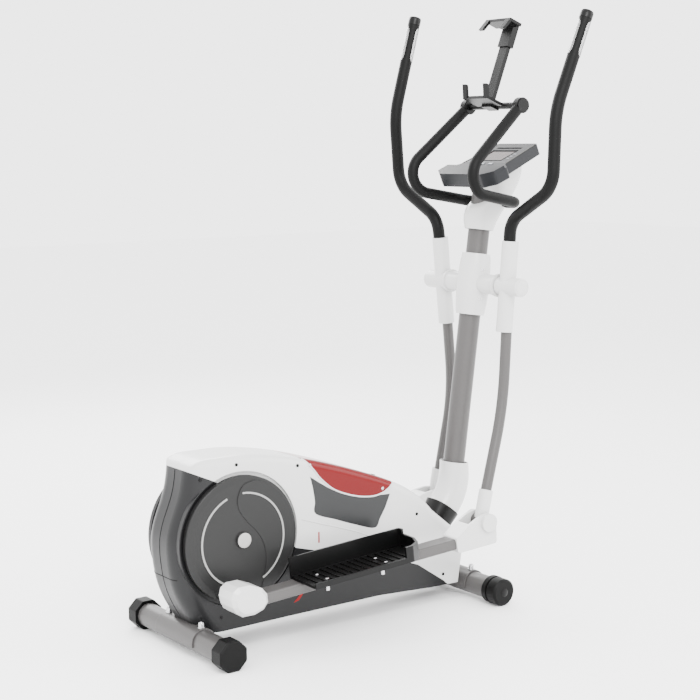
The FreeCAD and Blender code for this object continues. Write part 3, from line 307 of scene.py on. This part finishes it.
def smooth_run(points):
    """A smooth run through points."""
    steps = 6
    ends = [points[0]] + list(points) + [points[-1]]
    run = []
    for p0, p1, p2, p3 in zip(ends, ends[1:], ends[2:], ends[3:]):
        for k in range(steps):
            t = k / steps
            run.append(tuple(0.5 * (2 * b + (c - a) * t + (2 * a - 5 * b + 4 * c - d) * t**2
                                    + (3 * b - a - 3 * c + d) * t**3)
                             for a, b, c, d in zip(p0, p1, p2, p3)))
    return run + [points[-1]]


def skin_of(*names):
    """A tree of the named CAD nodes' faces, for finding points on their surface."""
    verts, faces = [], []
    for name in names:
        mesh = nodes[name].data
        first = len(verts)
        verts += [v.co.copy() for v in mesh.vertices]
        faces += [[first + i for i in p.vertices] for p in mesh.polygons]
    return BVHTree.FromPolygons(verts, faces)


CASING = skin_of(*[f"{part}_casing_{s}" for part in ("upper", "lower") for s in SIDES], "top_panel")


def on_side(ahead, rise, side):
    """The casing's surface met from the side, or None beyond its outline."""
    return CASING.ray_cast(spot(ahead, side * CLEAR, rise), Vector((0, -side, 0)))[0]


def along_side(points, side):
    """The points of a run that meet the casing's side."""
    met = [on_side(a, r, side) for a, r in smooth_run(points)]
    return [p for p in met if p]


def from_behind(side, rise):
    """The casing's surface met from behind."""
    return CASING.ray_cast(spot(-CLEAR, side, rise), Vector((1, 0, 0)))[0]


# ---------------------------------------------------------------- crank discs

STEP_CURVE = [(32, 144), (2, 134), (-14, 105), (-11, 77), (11, 44), (39, 15), (58, -18), (65, -57),
              (59, -97), (45, -140)]
STEP_RADIUS = 148.6
STEP_FOOT, STEP_FACE = 88.6, 91.4
ARC_HALF_WIDTH = 2.3
ARCS = {"low": (115, -22, -165, 90.2), "high": (116, 0, 152, 91.4)}  # radius, two angles, face below
BOSS = [(18.4, 96.5), (18.4, 97.4), (17.4, 98.2), (12, 98.6), (0.4, 98.8)]
DISC_RIM = [(153.5, 85.4), (156.4, 85.0), (157.2, 83.6), (157.2, 82.0), (150.0, 82.0)]


def disc_details(name, side):
    """The stepped half of the disc, two silver arcs, the boss cap and the rim's bead."""
    turn = -side  # the left disc is half a turn round from the right one
    body = "crank"

    def turned(points):
        return [(CRANK[0] + turn * (a - CRANK[0]), CRANK[1] + turn * (r - CRANK[1])) for a, r in points]

    curve = [(CRANK[0] + a, CRANK[1] + r) for a, r in smooth_run(STEP_CURVE)]
    first, last = (math.degrees(math.atan2(*STEP_CURVE[i])) for i in (-1, 0))
    rim = arc_points(STEP_RADIUS, first, last)[1:-1]
    slab(f"disc_step_{name}", turned(curve + rim), side * STEP_FOOT, side * STEP_FACE,
         MATERIALS["disc_plastic"], body, edge=0.8)
    for label, (radius, start, end, face) in ARCS.items():
        outer = arc_points(radius + ARC_HALF_WIDTH, start, end)
        inner = arc_points(radius - ARC_HALF_WIDTH, start, end)
        slab(f"disc_arc_{label}_{name}", turned(outer + inner[::-1]), side * (face - 1.2),
             side * (face + 0.5), ARC_SILVER, body, edge=0.0)
    centre = spot(CRANK[0], 0, CRANK[1])
    axis = Vector((0, side, 0))
    lathe(f"disc_boss_{name}", BOSS, centre, axis, BOSS_GREY, body)
    lathe(f"disc_rim_{name}", DISC_RIM, centre, axis, MATERIALS["disc_plastic"], body,
          128)


for name, side in SIDES.items():
    disc_details(name, side)

# ---------------------------------------------------------------- casing

CASING_SIDE = 76.0
DECAL_DEPTH = 0.5  # in and out of the casing's flat side
REAR_SEAM_RISES = range(70, 462, 14)
SPLIT_RISE = 190
SPLIT_SIDES = range(-56, 57, 8)

CREASE = [(296, 292), (334, 279), (376, 265), (424, 249), (469, 233), (517, 212), (580, 192), (668, 168)]
DECAL_TOP = [(322, 397), (360, 372), (398, 350), (427, 338), (470, 327), (520, 321), (572, 319)]
DECAL_REST = [(556, 284), (540, 260), (522, 236), (460, 254), (400, 276), (338, 300), (336, 332),
              (330, 368)]
PANEL_RIM = [(282, 455), (308, 440), (334, 412), (356, 386), (394, 355), (437, 336), (480, 324),
             (520, 320), (552, 326), (580, 342)]
RED_BAR = [(345, 224), (349, 224), (349, 252), (345, 252)]
RED_SLASH = [(268, 82), (284, 86), (302, 106), (290, 102)]
PANEL_SCREWS = [(322, 426), (548, 336)]
PANEL_SCREW = [(4.2, -1.0), (4.2, 0.8), (3.0, 1.6), (0.3, 1.8)]


def seam(name, points, radius=0.9, paint=SEAM_BLACK):
    """A thin bead lying on the casing."""
    bead(name, points, radius, paint, "frame")


def decal(name, outline, side, paint, edge):
    """A thin printed shape on the casing's flat side."""
    slab(name, outline, side * (CASING_SIDE - DECAL_DEPTH), side * (CASING_SIDE + DECAL_DEPTH), paint,
         "frame", edge)


def casing_details(name, side):
    """The crease, the grey decal, the panel's white rim, two red marks and two screws."""
    white = MATERIALS["white_plastic"]
    seam(f"crease_{name}", along_side(CREASE, side), 1.5, white)
    decal(f"decal_{name}", smooth_run(DECAL_TOP) + smooth_run(DECAL_REST), side, DECAL_GREY,
          0.2)
    seam(f"panel_rim_{name}", along_side(PANEL_RIM, side), 2.2, white)
    decal(f"mark_red_{name}", RED_BAR, side, DECAL_RED, 0.1)
    decal(f"mark_slash_{name}", RED_SLASH, side, DECAL_RED, 0.1)
    for i, (ahead, rise) in enumerate(PANEL_SCREWS):
        lathe(f"panel_screw_{i}_{name}", PANEL_SCREW, on_side(ahead, rise, side), Vector((0, side, 0)),
              MATERIALS["chrome_bolts"], "frame", SCREW_COUNT)


seam("seam_rear", [from_behind(0, rise) for rise in REAR_SEAM_RISES])
seam("seam_rear_across", [from_behind(side, SPLIT_RISE) for side in SPLIT_SIDES])
for name, side in SIDES.items():
    casing_details(name, side)

# ---------------------------------------------------------------- handles

GRIP_LOW, GRIP_TOP = (-10, 282, 460), (81, 274, 716)  # of the straight grip, in the arm's frame
GRIP_CAP = [(17.2, -16.0), (17.4, -6.0), (17.2, 0.8), (15.6, 4.2), (11.0, 6.4), (5.0, 7.4), (0.4, 7.6)]
HUB_CAP = [(20.0, 191.0), (20.0, 192.6), (18.6, 193.6), (8, 194.4), (0.4, 194.6)]
PLATE_SPAN = (0.56, 0.91)  # shares of the straight grip
PLATE_FACING = Vector((0.8, -0.6, 0))
PLATE_RADIUS, PLATE_THICKNESS = 0.0172, 0.0008  # metres
PLATE_HALF_ANGLE = 58
PLATE_ROWS, PLATE_COLUMNS = 14, 12


def arm_spot(name, x, y, z):
    """A point of the arm's own frame at rest, in the scene's frame."""
    turn = ARM_TURN[name]
    ahead = PIVOT[0] + x * math.cos(turn) + z * math.sin(turn)
    rise = PIVOT[1] - x * math.sin(turn) + z * math.cos(turn)
    return spot(ahead, SIDES[name] * y, rise)


def pulse_plate(name, label, start, end, facing):
    """A curved contact plate lying on the handle's foam, narrower at its two ends."""
    along = (end - start).normalized()
    across = along.cross(facing).normalized()
    out = across.cross(along).normalized()
    if out.dot(facing) < 0:
        out = -out
    shape = bmesh.new()
    grid = []
    for i in range(PLATE_ROWS + 1):
        t = i / PLATE_ROWS
        narrow = 1 - 0.35 * max(0, abs(2 * t - 1) - 0.8) / 0.2
        row = []
        for k in range(PLATE_COLUMNS + 1):
            angle = math.radians(PLATE_HALF_ANGLE * (2 * k / PLATE_COLUMNS - 1)) * narrow
            way = out * math.cos(angle) + across * math.sin(angle)
            row.append(shape.verts.new(start + (end - start) * t + way * PLATE_RADIUS))
        grid.append(row)
    for a, b in zip(grid, grid[1:]):
        for k in range(PLATE_COLUMNS):
            shape.faces.new((a[k], a[k + 1], b[k + 1], b[k]))
    bmesh.ops.solidify(shape, geom=shape.faces[:], thickness=PLATE_THICKNESS)
    settle(f"pulse_{label}_{name}", shape, PULSE_CHROME, f"{name}_arm")


def handle_details(name, side):
    """The grip's end cap, its two contact plates and the cap on the arm's hub."""
    body = f"{name}_arm"
    low, top = arm_spot(name, *GRIP_LOW), arm_spot(name, *GRIP_TOP)
    lathe(f"handle_cap_{name}", GRIP_CAP, top, (top - low).normalized(), MATERIALS["black_plastic"],
          body)
    start, end = (low + (top - low) * share for share in PLATE_SPAN)
    pulse_plate(name, "rear", start, end, -PLATE_FACING)
    pulse_plate(name, "front", start, end, PLATE_FACING)
    lathe(f"hub_cap_{name}", HUB_CAP, spot(PIVOT[0], 0, PIVOT[1]), Vector((0, side, 0)),
          MATERIALS["white_plastic"], body)


for name, side in SIDES.items():
    handle_details(name, side)

# ---------------------------------------------------------------- rollers and pivot cover

ROLLER = (846, 37)
ROLLER_CAP = [(11, 214.4), (11, 215.6), (9.4, 216.6), (0.4, 217.0)]
MAST_FOOT, MAST_TOP = (838, 275), (951, 1090)
COVER_SIDE = 40.6
COVER_SCREW_RISES = (800, 878)
COVER_SCREW_BACK = 6  # behind the mast's middle line
COVER_SCREW = [(3.4, -2.0), (3.4, 0.6), (2.6, 1.3), (0.3, 1.5)]


def mast_middle(rise):
    """How far ahead the mast's middle line is at a height."""
    share = (rise - MAST_FOOT[1]) / (MAST_TOP[1] - MAST_FOOT[1])
    return MAST_FOOT[0] + (MAST_TOP[0] - MAST_FOOT[0]) * share


for name, side in SIDES.items():
    axis = Vector((0, side, 0))
    lathe(f"roller_cap_{name}", ROLLER_CAP, spot(ROLLER[0], 0, ROLLER[1]), axis,
          MATERIALS["black_plastic"], f"roller_{name}", 32)
    for rise in COVER_SCREW_RISES:
        place = spot(mast_middle(rise) - COVER_SCREW_BACK, side * COVER_SIDE, rise)
        lathe(f"cover_screw_{rise}_{name}", COVER_SCREW, place, axis, MATERIALS["chrome_bolts"],
              "frame", SCREW_COUNT)

# ---------------------------------------------------------------- pedals

LINE_START = -5.3  # height of the tube's centre line over the crank pin
LINE_SLOPE = -0.0427
TREAD_FACE = 24.6  # above the tube's centre line
TREAD_SCREWS = [(along, out) for along in (215, 392) for out in (188, 232)]
TREAD_SCREW = [(5.0, -1.0), (5.0, 1.4), (3.8, 2.3), (0.3, 2.6)]


def bar_spot(name, along, side, up):
    """A point of the pedal bar's own frame at rest, with up measured from the tube's centre line."""
    turn = BAR_TURN[name]
    rise = up + LINE_START + LINE_SLOPE * along
    ahead = PIN[name][0] + along * math.cos(turn) - rise * math.sin(turn)
    height = PIN[name][1] + along * math.sin(turn) + rise * math.cos(turn)
    return spot(ahead, SIDES[name] * side, height)


for name in SIDES:
    upright = Vector((-math.sin(BAR_TURN[name]), 0, math.cos(BAR_TURN[name])))
    for i, (along, out) in enumerate(TREAD_SCREWS):
        lathe(f"tread_screw_{i}_{name}", TREAD_SCREW, bar_spot(name, along, out, TREAD_FACE), upright,
              MATERIALS["chrome_bolts"], f"{name}_bar", SCREW_COUNT)

# ---------------------------------------------------------------- console

CONSOLE_CORNER = (882, 1101)
CONSOLE_TILT = math.radians(23)
FACE = 29.4  # of the console, above its corner
SCREEN_ENDS = (106.5, 174.5)
SCREEN_SIDES = (-49, 49)
SCREEN_RIM = 2.2


def console_spot(along, side, up):
    """A point in the console's own frame."""
    ahead = CONSOLE_CORNER[0] + along * math.cos(CONSOLE_TILT) - up * math.sin(CONSOLE_TILT)
    rise = CONSOLE_CORNER[1] + along * math.sin(CONSOLE_TILT) + up * math.cos(CONSOLE_TILT)
    return spot(ahead, side, rise)


def console_slab(name, corners, low, high, paint, edge=0.6):
    """A plate lying on the console, from (along, side) corners."""
    lift = console_spot(0, 0, high) - console_spot(0, 0, low)
    plate(name, [console_spot(a, s, low) for a, s in corners], lift, paint, "frame", edge)


def oblong(low_along, high_along, low_side, high_side):
    """The corners of an oblong on the console."""
    return [(low_along, low_side), (low_along, high_side), (high_along, high_side),
            (high_along, low_side)]


def console_side(label, side):
    """A painted highlight band along the console's side edge, lighter where the edge catches light, and
    the three small marks beside the screen.
    """
    # Painted highlight: a lighter strip along the console's side edge where it catches light, put on
    # both sides.
    highlight_strip = [(92, side * 86), (214, side * 75.5), (214, side * 79), (92, side * 90)]
    console_slab(f"console_highlight_band_{label}", highlight_strip, 29.2, 31.0, CONSOLE_PAINTED_HIGHLIGHT)
    for i, along in enumerate((120, 134, 148)):
        mark = oblong(along, along + 4, side * 58, side * 68)
        console_slab(f"console_mark_{i}_{label}", mark, FACE, FACE + 1.2, MATERIALS["button_silver"],
                     0.3)


console_slab("console_slot_floor", oblong(186.6, 193.4, -49.4, 49.4), 26.0, 27.6, SEAM_BLACK)
console_slab("screen_top_band", oblong(168.5, 171.5, -45.4, 45.4), 28.6, 29.3, SEAM_BLACK,
             0.2)
for i, along in enumerate(SCREEN_ENDS):
    console_slab(f"screen_rim_{i}", oblong(along, along + SCREEN_RIM, -50, 50), FACE, FACE + 1.3,
                 SEAM_BLACK, 0.3)
for i, side in enumerate(SCREEN_SIDES):
    edge = oblong(SCREEN_ENDS[0], SCREEN_ENDS[1] + SCREEN_RIM, side - 1.2, side + 1.2)
    console_slab(f"screen_edge_{i}", edge, FACE, FACE + 1.3, SEAM_BLACK, 0.3)
console_slab("console_line", oblong(97, 98.6, -78, 78), FACE, FACE + 1.0, ARC_SILVER,
             0.2)
for label, side in SIDES.items():
    console_side(label, side)

# ---------------------------------------------------------------- camera, floor and light

CAMERA_PLACE = Vector((-2.338, -3.237, 1.230))
CAMERA_HEADING = 0.948  # radians from +X towards +Y
CAMERA_DIP = 0.135  # radians below the horizon
CAMERA_ROLL = -0.008
LENS, SENSOR, SHIFT = 80.3, 36, 0.0022
VIEW_END = 50
FLOOR_REACH = 14.0
WORLD_STRENGTH = 3.8


def add_camera():
    """The camera, from its place, heading, dip and roll."""
    heading, dip, roll = CAMERA_HEADING, CAMERA_DIP, CAMERA_ROLL
    ahead = Vector((math.cos(dip) * math.cos(heading), math.cos(dip) * math.sin(heading),
                    -math.sin(dip)))
    level = Vector((math.sin(heading), -math.cos(heading), 0))
    upright = level.cross(ahead)
    right = level * math.cos(roll) + upright * math.sin(roll)
    up = upright * math.cos(roll) - level * math.sin(roll)
    data = bpy.data.cameras.new("camera")
    data.lens = LENS
    data.sensor_width = SENSOR
    data.shift_y = SHIFT
    data.clip_end = VIEW_END
    camera = bpy.data.objects.new("camera", data)
    turn = Matrix((right, up, -ahead)).transposed().to_4x4()
    camera.matrix_world = Matrix.Translation(CAMERA_PLACE) @ turn
    bpy.context.scene.collection.objects.link(camera)
    bpy.context.scene.camera = camera


def add_area_light(name, place, target, size, power):
    """A soft rectangular light aimed at a point."""
    data = bpy.data.lights.new(name, "AREA")
    data.shape = "RECTANGLE"
    data.size, data.size_y = size
    data.energy = power
    lamp = bpy.data.objects.new(name, data)
    lamp.location = place
    lamp.rotation_mode = "QUATERNION"
    lamp.rotation_quaternion = (Vector(target) - Vector(place)).to_track_quat("-Z", "Y")
    bpy.context.scene.collection.objects.link(lamp)


def add_floor():
    """A wide white floor."""
    reach = FLOOR_REACH
    mesh = bpy.data.meshes.new("floor")
    corners = [(-reach, -reach, 0), (reach, -reach, 0), (reach, reach, 0), (-reach, reach, 0)]
    mesh.from_pydata(corners, [], [(0, 1, 2, 3)])
    floor = bpy.data.objects.new("floor", mesh)
    bpy.context.scene.collection.objects.link(floor)
    mesh.materials.append(new_material("floor_white", (0.95, 0.95, 0.95), 0.6))


def add_lighting():
    """A bright white surround and three soft lights."""
    world = bpy.data.worlds.new("studio")
    world.use_nodes = True
    background = world.node_tree.nodes["Background"]
    background.inputs["Color"].default_value = (1.0, 1.0, 1.0, 1)
    background.inputs["Strength"].default_value = WORLD_STRENGTH
    bpy.context.scene.world = world
    add_area_light("key", (-1.4, -3.4, 3.4), target=(0, 0, 0.6), size=(2.2, 2.2), power=330)
    add_area_light("fill", (3.2, -2.2, 2.2), target=(0, 0, 0.7), size=(2.0, 2.4), power=60)
    add_area_light("back", (0.5, 3.0, 2.6), target=(0, 0, 0.9), size=(2.5, 1.5), power=140)


add_camera()
add_floor()
add_lighting()
